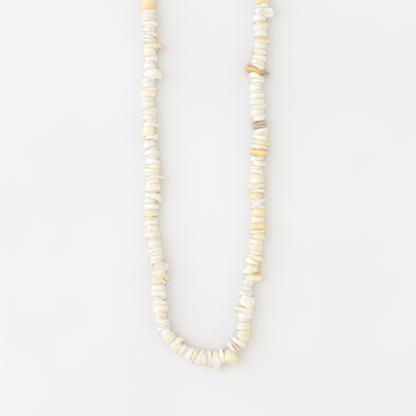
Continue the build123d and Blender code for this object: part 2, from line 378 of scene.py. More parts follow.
class MottleGroup(NodeGroup):
    """Cloudy patches and small specks.

    Attributes:
        CLOUD_EDGES: Noise values between which a patch fades in.
        CLOUD_DETAIL: How many finer noises the patches' noise holds.
        SPECK_EDGES: Noise values between which a speck fades in.
        SPECK_DETAIL: How many finer noises the specks' noise holds.
        FINER: How much finer the specks are than the patches.
    """

    CLOUD_EDGES = (0.38, 0.68)
    CLOUD_DETAIL = 3.0
    SPECK_EDGES = (0.66, 0.74)
    SPECK_DETAIL = 1.0
    FINER = 5.0

    def __init__(self) -> None:
        """Names the group's sockets."""
        super().__init__("shell_mottle", {"Scale": 500.0},
                         {"Clouds": "NodeSocketFloat", "Specks": "NodeSocketFloat"})

    def fill(self, bench: Bench, entry: bpy.types.NodeOutputs,
             leave: bpy.types.NodeInputs) -> None:
        """Draws both from noise at two scales.

        Args:
            bench: The group's bench.
            entry: The sockets that give the group's inputs.
            leave: The sockets that take its outputs.
        """
        spot = bench.object_place()
        clouds = bench.noise(spot, entry["Scale"], self.CLOUD_DETAIL)
        bench.feed(leave["Clouds"], bench.spread(clouds, *self.CLOUD_EDGES))
        fine = bench.math("MULTIPLY", entry["Scale"], self.FINER)
        specks = bench.noise(spot, fine, self.SPECK_DETAIL)
        bench.feed(leave["Specks"], bench.spread(specks, *self.SPECK_EDGES))


class ReliefGroup(NodeGroup):
    """Height of a worn shell's skin: fine grain, growth ridges and shallow pits.

    Attributes:
        GRAIN_SCALE: Scale of the grain, per metre.
        RIDGE: Height of the ridges.
        PIT: Depth of the pits.
    """

    GRAIN_SCALE = 2600.0
    RIDGE = 0.45
    PIT = 0.6

    def __init__(self) -> None:
        """Names the group's sockets."""
        super().__init__("shell_relief", {"Lines": 0.0, "Specks": 0.0, "Grain": 0.35},
                         {"Height": "NodeSocketFloat"})

    def fill(self, bench: Bench, entry: bpy.types.NodeOutputs,
             leave: bpy.types.NodeInputs) -> None:
        """Adds the grain to the ridges and takes the pits away.

        Args:
            bench: The group's bench.
            entry: The sockets that give the group's inputs.
            leave: The sockets that take its outputs.
        """
        grain = bench.noise(bench.object_place(), self.GRAIN_SCALE)
        rough = bench.math("MULTIPLY", grain, entry["Grain"])
        ridges = bench.math("MULTIPLY", entry["Lines"], self.RIDGE)
        raised = bench.math("ADD", rough, ridges)
        pits = bench.math("MULTIPLY", entry["Specks"], self.PIT)
        bench.feed(leave["Height"], bench.math("SUBTRACT", raised, pits))


LAYERS = LayersGroup()
MOTTLE = MottleGroup()
RELIEF = ReliefGroup()


class Polish(Enum):
    """How smooth a surface is: its roughness on the smooth and on the rough patches."""

    GLOSSY = (0.16, 0.30)
    SOFT = (0.28, 0.46)


RING_EDGES = (0.5, 0.85)  # shares of a shell's reach between which a ring fades in
RIM_EDGES = (0.75, 1.05)  # the same for its outer rim
RELIEF_STRENGTH = 0.5
RELIEF_DEPTH = 0.08 * MM
COAT_ROUGHNESS = 0.25
SHELL_IOR = 1.53
LIGHT_REACH = 1.0 * MM  # how far light goes under the surface
LIGHT_SHARES = (1.0, 0.8, 0.6)  # share of that reach for red, green and blue


@dataclass(frozen=True)
class ShellFinish:
    """A shell's polish and the layers of colour that follow each other along the string.

    Attributes:
        name: The material's name.
        layers: Colours along the shell, from its first face (0) to its last (1). On the plain
        shells, the warm, darker tones at both faces are painted shade where shells meet.
        line: Colour of the growth lines.
        line_share: How strongly they show.
        line_count: Roughly how many lie in half a shell.
        wobble: How far the layers waver.
        cloud: Colour of the cloudy patches.
        cloud_share: How strongly they show.
        rim: Colour of the shell's outer rim.
        rim_share: How strongly it shows.
        side: Colour towards one side of the shell.
        side_from: Where that colour starts, from -1 (outside of the loop) to 1 (inside).
        side_to: Where it is full.
        side_share: How strongly it shows there.
        ring: Colour of a ring round the shell as seen from above.
        ring_share: How strongly it shows.
        speck_share: How strongly the dark specks show.
        polish: How smooth the shell is.
        coat: Weight of the clear gloss on top.
        depth: How much light passes under the surface.
    """

    name: str
    layers: tuple[tuple[float, Tone], ...]
    line: Tone = SAND
    line_share: float = 0.35
    line_count: float = 2.0
    wobble: float = 0.3
    cloud: Tone = IVORY
    cloud_share: float = 0.3
    rim: Tone = IVORY
    rim_share: float = 0.2
    side: Tone = IVORY
    side_from: float = 0.0
    side_to: float = 1.0
    side_share: float = 0.0
    ring: Tone = CHALK
    ring_share: float = 0.0
    speck_share: float = 0.12
    polish: Polish = Polish.SOFT
    coat: float = 0.06
    depth: float = 0.4

    def ground(self, bench: Bench, place: bpy.types.NodeSocket) -> bpy.types.NodeSocket:
        """The layers' colour before lines, clouds and rim."""
        return bench.ramp(place, self.layers)

    def material(self) -> bpy.types.Material:
        """The shell's material, built at its first use.

        Returns:
            The material.
        """
        found = bpy.data.materials.get(self.name)
        if found:
            return found
        made, bench, shader = open_material(self.name)
        layers = LAYERS.place(bench, Wobble=self.wobble, Line_Count=self.line_count)
        mottle = MOTTLE.place(bench)
        bench.feed(shader.inputs["Base Color"], self.color(bench, layers, mottle))
        smooth, rough = self.polish.value
        roughness = bench.spread(mottle["Clouds"], 0.0, 1.0, rough, smooth)
        bench.feed(shader.inputs["Roughness"], roughness)
        height = RELIEF.place(bench, Lines=layers["Lines"], Specks=mottle["Specks"])["Height"]
        bump = bench.add("ShaderNodeBump", {"Strength": RELIEF_STRENGTH, "Distance": RELIEF_DEPTH,
                                            "Height": height})
        bench.feed(shader.inputs["Normal"], bump.outputs[0])
        for name, value in (("Coat Weight", self.coat), ("Coat Roughness", COAT_ROUGHNESS),
                            ("IOR", SHELL_IOR), ("Subsurface Weight", self.depth),
                            ("Subsurface Radius", LIGHT_SHARES), ("Subsurface Scale", LIGHT_REACH)):
            shader.inputs[name].default_value = value
        return made

    def color(self, bench: Bench, layers: bpy.types.NodeOutputs,
              mottle: bpy.types.NodeOutputs) -> bpy.types.NodeSocket:
        """The layers' colour with all that lies over it.

        Args:
            bench: The material's bench.
            layers: The outputs of LAYERS.
            mottle: The outputs of MOTTLE.

        Returns:
            The socket with the colour.
        """
        color = self.ground(bench, layers["Place"])
        lines = bench.math("MULTIPLY", layers["Lines"], self.line_share)
        color = bench.mix(lines, color, self.line)
        clouds = bench.math("MULTIPLY", mottle["Clouds"], self.cloud_share)
        color = bench.mix(clouds, color, self.cloud)
        if self.side_share:
            turned = bench.spread(bench.charted("reach"), self.side_from, self.side_to, 0.0,
                                  self.side_share)
            color = bench.mix(turned, color, self.side)
        if self.ring_share:
            spot = bench.add("ShaderNodeCombineXYZ", {0: bench.charted("layer"),
                                                      1: bench.charted("reach")})
            out = bench.add("ShaderNodeVectorMath", {0: spot.outputs[0]}, operation="LENGTH")
            ringed = bench.spread(out.outputs["Value"], *RING_EDGES, 0.0, self.ring_share)
            color = bench.mix(ringed, color, self.ring)
        edge = bench.spread(bench.charted("rim"), *RIM_EDGES, 0.0, self.rim_share)
        color = bench.mix(edge, color, self.rim)
        specks = bench.math("MULTIPLY", mottle["Specks"], self.speck_share)
        return bench.mix(specks, color, TAN)


class Drive(Enum):
    """Which charted number picks the colour of each shell in a node of many."""

    TINT = "tint"
    THICKNESS = "thickness"


@dataclass(frozen=True)
class MixedShellFinish(ShellFinish):
    """A finish for a node of many shells, each of a colour of its own.

    Attributes:
        families: Colours and the value from 0 to 1 at which each begins.
        drive: Which charted number picks among them.
        drive_low: Value of that number which counts as 0.
        drive_high: Value of that number which counts as 1.
    """

    families: tuple[tuple[float, Tone], ...] = ()
    drive: Drive = Drive.TINT
    drive_low: float = 0.0
    drive_high: float = 1.0

    def ground(self, bench: Bench, place: bpy.types.NodeSocket) -> bpy.types.NodeSocket:
        """Each shell's own colour, darkened by the layers that all have.

        Args:
            bench: The material's bench.
            place: Where a point lies in its shell's layers.

        Returns:
            The socket with the colour.
        """
        picked = bench.spread(bench.charted(self.drive.value), self.drive_low, self.drive_high)
        passing = "CONSTANT" if self.drive is Drive.TINT else "LINEAR"
        family = bench.ramp(picked, self.families, passing)
        # On the plain shells, the shared layers darken each shell warmly at both faces. This is
        # painted warm shade where neighbouring shells meet.
        return bench.mix(1.0, family, super().ground(bench, place), "MULTIPLY")


# The warm, slightly darker layer stops at 0.12 and 0.88 tint each plain shell towards both of its
# faces. This is painted warm shade where neighbouring shells meet.
WHITE_SHELL = MixedShellFinish(
    "white_shell",
    layers=((0.12, tone(251, 246, 232)), (0.34, FULL), (0.68, FULL), (0.88, tone(252, 249, 240))),
    families=((0.0, CHALK), (0.3, IVORY), (0.55, MILK), (0.7, CHALK), (0.82, CREAM)),
    line=BUTTER, line_share=0.38, line_count=1.6, cloud=CHALK, cloud_share=0.25, rim=CHALK,
    speck_share=0.06,
)
# The warm, slightly darker layer stops at 0.12 and 0.88 tint each plain shell towards both of its
# faces. This is painted warm shade where neighbouring shells meet.
CREAM_SHELL = MixedShellFinish(
    "cream_shell",
    layers=((0.12, tone(249, 241, 223)), (0.34, FULL), (0.66, tone(254, 253, 249)),
            (0.88, tone(250, 245, 231))),
    families=((0.0, tone(246, 230, 200)), (0.22, BUTTER), (0.45, MILK), (0.75, tone(246, 238, 222)),
              (1.0, CREAM)),
    drive=Drive.THICKNESS, drive_low=0.8, drive_high=3.0,
    line=TAN, line_share=0.55, line_count=2.2, cloud=IVORY, cloud_share=0.4,
)
YELLOW_BLOCK = ShellFinish(
    "yellow_block", layers=((0.0, BUTTER), (0.3, YELLOW), (0.5, tone(245, 222, 164)), (0.76, HONEY),
                            (1.0, YELLOW)),
    line=HONEY, line_share=0.45, cloud=BUTTER, wobble=0.2,
)
YELLOW_DEEP = ShellFinish(
    "yellow_deep", layers=((0.0, BUTTER), (0.3, YELLOW), (0.5, tone(246, 222, 160)),
                           (0.75, tone(246, 211, 136)), (1.0, tone(247, 219, 150))),
    line=HONEY, line_share=0.4, cloud=YELLOW, wobble=0.2,
)
YELLOW_TOP = replace(YELLOW_DEEP, name="yellow_top", layers=(
    (0.0, BUTTER), (0.25, tone(246, 218, 150)), (0.6, tone(246, 216, 148)), (1.0, YELLOW)))
YELLOW_PALE = ShellFinish(
    "yellow_pale", layers=((0.0, MILK), (0.25, BUTTER), (0.5, YELLOW), (0.8, BUTTER), (1.0, CREAM)),
    line=HONEY, cloud=CREAM,
)
GOLD_DULL = ShellFinish(
    "gold_dull", layers=((0.0, SAND), (0.4, tone(237, 229, 206)), (0.8, tone(241, 231, 203)),
                         (1.0, TAN)),
    line=TAN, line_share=0.4, cloud=CREAM, cloud_share=0.35,
)
GOLD_BRIGHT = ShellFinish(
    "gold_bright", layers=((0.0, YELLOW), (0.35, GOLD), (0.55, BUTTER), (0.7, YELLOW), (1.0, GOLD)),
    line=HONEY, cloud=BUTTER,
)
ORANGE_LAYERED = ShellFinish(
    "orange_layered", layers=((0.1, CREAM), (0.35, BUTTER), (0.58, YELLOW),
                              (0.76, tone(241, 208, 138)), (1.0, HONEY)),
    line=HONEY, line_share=0.45, cloud=BUTTER, cloud_share=0.25, wobble=0.2,
)
TAN_LAYERED = ShellFinish(
    "tan_layered", layers=((0.0, SAND), (0.25, CREAM), (0.5, tone(224, 200, 160)),
                           (0.72, tone(238, 226, 196)), (1.0, SAND)),
    line=TAN, line_share=0.45, cloud=CREAM, cloud_share=0.25, wobble=0.2,
)
ORANGE_FOOT = ShellFinish(
    "orange_foot", layers=((0.04, YELLOW), (0.12, tone(236, 186, 92)), (0.24, tone(240, 196, 110)),
                           (0.38, tone(247, 228, 180)), (0.6, tone(247, 226, 176)),
                           (0.82, tone(244, 212, 146)), (1.0, HONEY)),
    line=ORANGE, line_share=0.4, cloud=YELLOW, cloud_share=0.25, wobble=0.16,
)
ORANGE_PATCH = ShellFinish(
    "orange_patch", layers=((0.0, CREAM), (0.35, YELLOW), (0.54, tone(236, 206, 152)),
                            (0.7, tone(208, 166, 108)), (0.86, BUTTER), (1.0, CREAM)),
    line=HONEY, line_share=0.4,
)
YELLOW_FOOT = ShellFinish(
    "yellow_foot", layers=((0.0, BUTTER), (0.1, tone(240, 206, 140)), (0.26, YELLOW),
                           (0.55, BUTTER), (0.8, HONEY), (1.0, BUTTER)),
    line=HONEY, line_share=0.45, cloud=BUTTER, wobble=0.24,
)
PEACH_LAYERED = ShellFinish(
    "peach_layered", layers=((0.0, BUTTER), (0.28, PEACH), (0.62, CREAM), (0.78, BUTTER),
                             (1.0, YELLOW)),
    line=HONEY, line_share=0.3, cloud=MILK,
)
ORANGE_TO_CREAM = ShellFinish(
    "orange_to_cream", layers=((0.0, CREAM), (0.4, BUTTER), (1.0, CREAM)), line=HONEY,
    side=tone(245, 218, 172), side_from=-0.1, side_to=0.6, side_share=0.5,
)
TAN_SLIVER = ShellFinish(
    "tan_sliver", layers=((0.0, YELLOW), (0.5, GOLD), (1.0, HONEY)), line=RUST,
    side=tone(236, 202, 156), side_from=0.1, side_to=0.8, side_share=0.7, cloud_share=0.15,
)
GOLD_PALE = ShellFinish(
    "gold_pale", layers=((0.0, tone(236, 225, 186)), (0.35, tone(240, 231, 204)),
                         (0.7, tone(239, 229, 195)), (1.0, tone(238, 222, 172))),
    line=HONEY, cloud=MILK,
)
ORANGE_LINE = ShellFinish(
    "orange_line", layers=((0.0, BUTTER), (0.5, YELLOW), (1.0, BUTTER)), line=HONEY,
    cloud_share=0.15,
)
ORANGE_STRIPED = ShellFinish(
    "orange_striped", layers=((0.0, IVORY), (0.2, HONEY), (0.34, MILK), (0.54, IVORY),
                              (0.7, tone(240, 208, 142)), (0.84, YELLOW), (1.0, IVORY)),
    line=HONEY, wobble=0.2, cloud_share=0.2,
)
TAN_SOFT = ShellFinish(
    "tan_soft", layers=((0.0, CREAM), (0.3, BUTTER), (0.7, tone(240, 229, 199)), (1.0, SAND)),
    line=HONEY, line_share=0.4, cloud=CREAM,
)
TAN_PALE = replace(TAN_SOFT, name="tan_pale", layers=((0.0, IVORY), (0.5, MILK), (1.0, CREAM)))
AMBER_CLEAR = ShellFinish(
    "amber_clear", layers=((0.0, ORANGE), (0.3, HONEY), (0.5, YELLOW), (0.58, BUTTER),
                           (0.66, ORANGE), (0.85, tone(232, 188, 124)), (1.0, HONEY)),
    line=ORANGE, line_share=0.45, cloud=YELLOW, cloud_share=0.2, polish=Polish.GLOSSY, coat=0.25,
    rim=HONEY, wobble=0.16,
)
AMBER_DARK = ShellFinish(
    "amber_dark", layers=((0.0, tone(184, 130, 78)), (0.25, tone(220, 174, 112)),
                          (0.55, tone(237, 201, 142)), (0.8, tone(222, 178, 118)),
                          (1.0, tone(178, 126, 76))),
    line=RUST, line_share=0.5, cloud=YELLOW, polish=Polish.GLOSSY, coat=0.4,
    side=tone(164, 118, 76), side_from=0.1, side_to=-0.8, side_share=0.8, depth=0.3, rim=TAN,
)
BROWN_BANDED = ShellFinish(
    "brown_banded", layers=((0.0, tone(220, 196, 158)), (0.16, BROWN), (0.34, tone(223, 199, 160)),
                            (0.48, BROWN), (0.64, tone(221, 195, 154)), (0.82, UMBER),
                            (1.0, BROWN)),
    line=UMBER, line_count=3.0, cloud=TAN, cloud_share=0.2, wobble=0.16,
)
BROWN_STRIPED = ShellFinish(
    "brown_striped", layers=((0.0, CREAM), (0.12, HONEY), (0.2, tone(150, 110, 76)),
                             (0.32, BROWN), (0.42, CREAM), (0.56, CREAM), (0.64, BROWN),
                             (0.76, tone(146, 106, 72)), (0.86, HONEY), (1.0, CREAM)),
    line=RUST, line_count=4.0, cloud=CREAM, cloud_share=0.25, wobble=0.16,
    side=tone(240, 213, 168), side_from=0.0, side_to=-0.6, side_share=0.75,
)
BROWN_SPOTTED = ShellFinish(
    "brown_spotted", layers=((0.0, GOLD), (0.4, YELLOW), (0.66, HONEY), (0.84, tone(224, 186, 128)),
                             (1.0, BUTTER)),
    line=HONEY, side=TAN, side_from=0.25, side_to=-0.5, side_share=0.3,
)
CREAM_CLEAR = ShellFinish(
    "cream_clear", layers=((0.0, CREAM), (0.5, tone(237, 235, 221)), (1.0, CREAM)),
    rim=CHALK, rim_share=0.3, ring_share=0.5, polish=Polish.GLOSSY, coat=0.4, depth=0.55,
)
CREAM_RIMMED = replace(CREAM_CLEAR, name="cream_rimmed", ring_share=0.3, layers=(
    (0.0, SAND), (0.5, tone(238, 233, 214)), (1.0, CREAM)))
CLEAR_RIMMED = ShellFinish(
    "clear_rimmed", layers=((0.0, GREY), (0.5, tone(232, 230, 210)), (1.0, GREY)),
    line_share=0.25, cloud=GLASSY, rim_share=0.0, ring_share=0.95,
    polish=Polish.GLOSSY, coat=0.5, depth=0.5,
)
TAN_CLEAR = ShellFinish(
    "tan_clear", layers=((0.0, CREAM), (0.4, tone(221, 207, 179)), (0.7, tone(238, 229, 204)),
                         (1.0, CREAM)),
    line=BROWN, line_share=0.25, cloud=GLASSY, rim=CHALK, rim_share=0.5,
    side_from=0.35, side_to=0.8, side_share=0.85, polish=Polish.GLOSSY, coat=0.4, depth=0.5,
)
TAN_TO_CREAM = ShellFinish(
    "tan_to_cream", layers=((0.0, GREY), (0.4, tone(242, 237, 223)), (1.0, MILK)),
    rim_share=0.35, side=GOLD, side_from=-0.2, side_to=0.9, side_share=0.6,
)
GOLD_TO_CREAM = ShellFinish(
    "gold_to_cream", layers=((0.0, CREAM), (0.3, GOLD), (0.6, tone(222, 192, 138)),
                             (1.0, tone(234, 212, 166))),
    line=HONEY, side=CREAM, side_from=-0.2, side_to=-0.8, side_share=0.7,
)
GREY_SPOTTED = ShellFinish(
    "grey_spotted", layers=((0.0, CREAM), (0.4, tone(244, 232, 219)), (0.7, MILK)), line=TAN,
    side=tone(206, 199, 184), side_from=0.35, side_to=0.8, side_share=0.7, polish=Polish.GLOSSY,
)
CREAM_TO_GOLD = ShellFinish(
    "cream_to_gold", layers=((0.0, CREAM), (0.5, SAND), (1.0, CREAM)), line=TAN,
    side=tone(244, 231, 200), side_from=0.0, side_to=0.9, side_share=0.7,
)


def edit(piece: bpy.types.Object) -> None:
    """Selects one object alone and opens its mesh.

    Args:
        piece: The object.
    """
    bpy.ops.object.select_all(action="DESELECT")
    piece.select_set(True)
    bpy.context.view_layer.objects.active = piece
    bpy.ops.object.mode_set(mode="EDIT")


def apply_modifier(piece: bpy.types.Object, name: str, kind: str, **settings: object) -> None:
    """Adds a modifier to a piece and applies it.

    Args:
        piece: The object, alone selected.
        name: The modifier's name.
        kind: The modifier's type.
        settings: The modifier's settings.
    """
    modifier = piece.modifiers.new(name, kind)
    for key, value in settings.items():
        setattr(modifier, key, value)
    bpy.ops.object.modifier_apply(modifier=name)


def loose_shells(mesh: bpy.types.Mesh) -> list[list[int]]:
    """The vertices of each separate shell in a mesh.

    Args:
        mesh: A mesh of one or many closed shells.

    Returns:
        A list of vertex numbers for each shell, in the order of their first vertices.
    """
    leader = list(range(len(mesh.vertices)))

    def head(index: int) -> int:
        """Finds the vertex that stands for a shell.

        Args:
            index: Any vertex of the shell.

        Returns:
            The number of the vertex that stands for it.
        """
        while leader[index] != index:
            leader[index] = leader[leader[index]]
            index = leader[index]
        return index

    for edge in mesh.edges:
        first, second = head(edge.vertices[0]), head(edge.vertices[1])
        leader[max(first, second)] = min(first, second)
    found: dict[int, list[int]] = {}
    for index in range(len(leader)):
        found.setdefault(head(index), []).append(index)
    return list(found.values())


@dataclass
class StringGuide:
    """Tells which way the string runs at any place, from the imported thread.

    Attributes:
        span: How much of the thread on each side counts.
        tree: The thread's vertices.
    """

    span: float = 5 * MM
    tree: KDTree = field(init=False)

    def __post_init__(self) -> None:
        """Gathers the thread's vertices."""
        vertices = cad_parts["thread"].data.vertices
        self.tree = KDTree(len(vertices))
        for vertex in vertices:
            self.tree.insert(vertex.co, vertex.index)
        self.tree.balance()

    def direction(self, place: Vector) -> Vector:
        """The way the string runs past a place, from the left strand round to the right one.

        Args:
            place: A point near the thread.

        Returns:
            A flat vector of length 1.
        """
        points = [co for co, _, _ in self.tree.find_range(place, self.span)]
        centre = sum(points, Vector()) / len(points)
        xx = sum((point.x - centre.x) ** 2 for point in points)
        yy = sum((point.y - centre.y) ** 2 for point in points)
        xy = sum((point.x - centre.x) * (point.y - centre.y) for point in points)
        angle = atan2(2 * xy, xx - yy) / 2
        along = Vector((cos(angle), sin(angle), 0))
        size = CAD_BOX[1] - CAD_BOX[0]
        round_loop = Vector((-centre.y * size.x ** 2, centre.x * size.y ** 2, 0))
        return along if along.dot(round_loop) > 0 else -along


@dataclass(frozen=True)
class ShellSeat:
    """Where a shell sits on the string, and how far it reaches.

    Its own directions are along the string through its two faces, inwards to the middle of the
    loop, and up.

    Attributes:
        centre: The shell's middle.
        axes: Its own directions.
        low: Its least reach in its own directions.
        high: Its greatest reach.
    """

    centre: Vector
    axes: tuple[Vector, Vector, Vector]
    low: Vector = field(default_factory=Vector)
    high: Vector = field(default_factory=Vector)

    @classmethod
    def of(cls, points: list[Vector], faces: list[tuple[Vector, float]],
           guide: StringGuide) -> "ShellSeat":
        """The seat of a shell, which is square to the shell's own faces.

        Args:
            points: The shell's vertices.
            faces: The normal and the area of each of its faces.
            guide: Tells which way the string runs.

        Returns:
            The seat.
        """
        centre = sum(points, Vector()) / len(points)
        run = guide.direction(centre)
        along = Vector()
        for normal, area in faces:
            if abs(normal.dot(run)) > FACING:
                along += normal * area * (1 if normal.dot(run) > 0 else -1)
        along = (along if along.length > 0 else run).normalized()
        inwards = Vector((0, 0, 1)).cross(along).normalized()
        seat = cls(centre, (along, inwards, along.cross(inwards)))
        return replace(seat, **seat.reach(points))

    def local(self, point: Vector) -> Vector:
        """A point in the shell's own directions."""
        return Vector((point - self.centre).dot(axis) for axis in self.axes)

    def place(self, spot: Vector) -> Vector:
        """The point at a spot in the shell's own directions."""
        return sum((axis * part for axis, part in zip(self.axes, spot)), self.centre.copy())

    def reach(self, points: list[Vector]) -> dict[str, Vector]:
        """How far points reach in the shell's own directions.

        Args:
            points: The points.

        Returns:
            Their least reach under low, and their greatest under high.
        """
        columns = list(zip(*(self.local(point) for point in points)))
        return {"low": Vector(min(column) for column in columns),
                "high": Vector(max(column) for column in columns)}


def seat_shells(mesh: bpy.types.Mesh, guide: StringGuide) -> list[ShellSeat]:
    """Finds the seat of each shell in a mesh.

    Args:
        mesh: A mesh of one or many closed shells.
        guide: Tells which way the string runs.

    Returns:
        The seats, in the order of loose_shells.
    """
    shells = loose_shells(mesh)
    shell_of = {i: k for k, members in enumerate(shells) for i in members}
    faces: list[list[tuple[Vector, float]]] = [[] for _ in shells]
    for polygon in mesh.polygons:
        faces[shell_of[polygon.vertices[0]]].append((polygon.normal.copy(), polygon.area))
    return [ShellSeat.of([mesh.vertices[i].co for i in members], faces[k], guide)
            for k, members in enumerate(shells)]


@dataclass(frozen=True)
class Chance:
    """How far plain shells differ from one another, each as a share of a shell's own size.

    Attributes:
        width: How much wider or narrower one is.
        slip: How far one has slipped across the string.
        taper: How much thicker one side is than the other.
        skew: How far one leans along the string, for each length across it.
    """

    width: float = 0.0
    slip: float = 0.0
    taper: float = 0.0
    skew: float = 0.0


@dataclass(frozen=True)
class WearSizes:
    """How far tumbling has rounded a shell.

    Attributes:
        crease: How sharp its edges stay, from 0 to 1.
        levels: Subdivisions of its surface.
        hollows: Most that its surface sinks in.
        patch: Size of the patches that sink.
        crowd: How far each face is moved out, so that the shells lie against each other.
        chance: How far shells of this wear differ.
    """

    crease: float
    levels: int
    hollows: float
    patch: float
    crowd: float
    chance: Chance = Chance()


class Wear(Enum):
    """How worn a shell is."""

    STRUNG = WearSizes(crease=0.34, levels=1, hollows=0.45 * MM, patch=1.9 * MM, crowd=0.38 * MM,
                       chance=Chance(width=0.15, slip=0.18, taper=0.35, skew=0.12))
    BLOCK = WearSizes(crease=0.24, levels=3, hollows=0.60 * MM, patch=2.2 * MM, crowd=0.28 * MM)
    PEBBLE = WearSizes(crease=0.0, levels=3, hollows=0.45 * MM, patch=2.6 * MM, crowd=0.16 * MM)
    BLADE = WearSizes(crease=0.12, levels=3, hollows=0.30 * MM, patch=2.0 * MM, crowd=0.12 * MM)


@dataclass(frozen=True)
class Fitting:
    """Brings rounded shells back to their seats, charts them and bows them.

    The charted numbers are layer, from -1 to 1 along the string; reach, from -1 outside the loop
    to 1 inside; rim, from 0 at the middle to 1 at the outline; tint, a random number for each
    shell; and thickness, each shell's length along the string in millimetres.

    Attributes:
        bow: How far a shell's middle bows along the string against its two sides, on the left
            strand; it fades towards the right strand.
        bow_width: Distance from the middle at which the bow has its whole depth.
        level: Share of the bow that lifts the middle; the rest sets the sides back.
        waves: How far soft waves move the shells' faces along the string.
        wave_size: Size of the waves.
        thin_side: How much of a taper shows on a shell's thinner side.
    """

    bow: float = 0.35 * MM
    bow_width: float = 2.8 * MM
    level: float = 0.35
    waves: float = 0.45 * MM
    wave_size: float = 2.8 * MM
    thin_side: float = 0.5

    def apply(self, piece: bpy.types.Object, seats: list[ShellSeat], worn: "WornShells",
              draw: Random) -> None:
        """Fits every shell of a piece.

        Args:
            piece: The object with the rounded shells.
            seats: Their seats before rounding, in the order of loose_shells.
            worn: How the shells are worn and tapered.
            draw: Where the tints and the differences come from.
        """
        chance, taper = worn.wear.value.chance, worn.taper
        mesh = piece.data
        names = ("layer", "reach", "rim", "tint", "thickness")
        charts = {name: [0.0] * len(mesh.vertices) for name in names}
        box_low, box_high = CAD_BOX
        for members, seat in zip(loose_shells(mesh), seats, strict=True):
            now = seat.reach([mesh.vertices[i].co for i in members])
            tint = draw.random()
            middle, half = (seat.low + seat.high) / 2, (seat.high - seat.low) / 2
            middle.y += half.y * draw.uniform(-chance.slip, chance.slip)
            half.x += worn.wear.value.crowd
            half.y *= 1 + draw.uniform(-chance.width, chance.width)
            wedge = taper + draw.uniform(-chance.taper, chance.taper)
            skew = worn.skew + draw.uniform(-chance.skew, chance.skew)
            bow = self.bow * (0.5 - seat.centre.x / (box_high.x - box_low.x))
            for i in members:
                spot = seat.local(mesh.vertices[i].co)
                share = Vector(2 * (spot[k] - now["low"][k]) / (now["high"][k] - now["low"][k]) - 1
                               for k in range(3))
                if share.y * taper > 0:
                    share.y += abs(taper) * share.y * (1 - abs(share.y))
                spot = middle + Vector(share[k] * half[k] for k in range(3))
                spot.x += skew * spot.y
                spot.y += worn.inward * max(0.0, share.y) * half.y
                lean = share.y * wedge
                grown = 1 + lean if lean > 0 else 1 / (1 - self.thin_side * lean)
                spot.x += share.x * half.x * (grown - 1)
                spot.x -= bow * (self.level - (spot.y / self.bow_width) ** 2)
                spot.z -= worn.dish * max(0.0, share.z) * max(0.0, 1 - share.x ** 2 - share.y ** 2)
                place = seat.place(spot)
                place += seat.axes[0] * self.waves * noise.noise(place / self.wave_size)
                mesh.vertices[i].co = Vector(min(max(place[k], box_low[k]), box_high[k])
                                             for k in range(3))
                charts["layer"][i] = share.x
                charts["reach"][i] = share.y
                charts["rim"][i] = hypot(share.y, share.z)
                charts["tint"][i] = tint
                charts["thickness"][i] = 2 * half.x / MM
        for name, values in charts.items():
            mesh.attributes.new(name, "FLOAT", "POINT").data.foreach_set("value", values)


def hand_over(piece: bpy.types.Object, node: str) -> None:
    """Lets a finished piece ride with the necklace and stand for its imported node.

    Args:
        piece: The finished object.
        node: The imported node's name.
    """
    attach(piece, BODY)
    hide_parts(node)


@dataclass
class WornShells:
    """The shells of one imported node, rounded as tumbling leaves them.

    Attributes:
        node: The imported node.
        finish: Their finish.
        wear: How worn they are.
        taper: How much thicker and blunter each is on its inner side.
        dish: Depth of the hollow in its upper side.
        inward: How much further it reaches on its inner side, as a share of its half width.
        skew: How far it leans along the string towards its inner side, for each length across.
        merge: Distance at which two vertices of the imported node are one.
        flat: Angle up to which two triangles are one face.
        sharp: Angle from which an edge keeps its crease.
        smooth: Angle up to which the rounded surface is shaded smooth.
    """

    node: str
    finish: ShellFinish
    wear: Wear
    taper: float = 0.0
    dish: float = 0.0
    inward: float = 0.0
    skew: float = 0.0
    merge: float = 0.001 * MM
    flat: float = radians(4)
    sharp: float = radians(50)
    smooth: float = radians(60)

    def build(self, guide: StringGuide, draw: Random) -> bpy.types.Object:
        """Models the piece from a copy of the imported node.

        Args:
            guide: Tells which way the string runs.
            draw: Where the shells' tints and differences come from.

        Returns:
            The finished object.
        """
        sizes = self.wear.value
        piece = bpy.data.objects.new("worn_" + self.node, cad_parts[self.node].data.copy())
        bpy.context.scene.collection.objects.link(piece)
        piece.data.materials.clear()
        edit(piece)
        bpy.ops.mesh.customdata_custom_splitnormals_clear()
        bpy.ops.mesh.select_all(action="SELECT")
        bpy.ops.mesh.remove_doubles(threshold=self.merge)
        bpy.ops.mesh.tris_convert_to_quads(face_threshold=self.flat, shape_threshold=pi)
        bpy.ops.mesh.select_all(action="DESELECT")
        bpy.ops.mesh.select_mode(type="EDGE")
        bpy.ops.mesh.edges_select_sharp(sharpness=self.sharp)
        bpy.ops.transform.edge_crease(value=sizes.crease)
        bpy.ops.object.mode_set(mode="OBJECT")
        seats = seat_shells(piece.data, guide)
        apply_modifier(piece, "rounding", "SUBSURF", levels=sizes.levels,
                       render_levels=sizes.levels)
        apply_modifier(piece, "hollows", "DISPLACE", texture=self.hollow_texture(),
                       texture_coords="GLOBAL", mid_level=0.5, strength=sizes.hollows)
        Fitting().apply(piece, seats, self, draw)
        bpy.ops.object.shade_smooth_by_angle(angle=self.smooth)
        return piece

    def hollow_texture(self) -> bpy.types.Texture:
        """Soft clouds as large as the hollows of this wear, made at their first use.

        Returns:
            The texture.
        """
        name = "hollows_" + self.wear.name.lower()
        texture = bpy.data.textures.get(name)
        if not texture:
            texture = bpy.data.textures.new(name, "CLOUDS")
            texture.noise_scale = self.wear.value.patch
            texture.noise_depth = HOLLOW_DETAIL
        return texture

    def dress(self, piece: bpy.types.Object) -> None:
        """Gives the piece its finish."""
        piece.data.materials.append(self.finish.material())
        hand_over(piece, self.node)


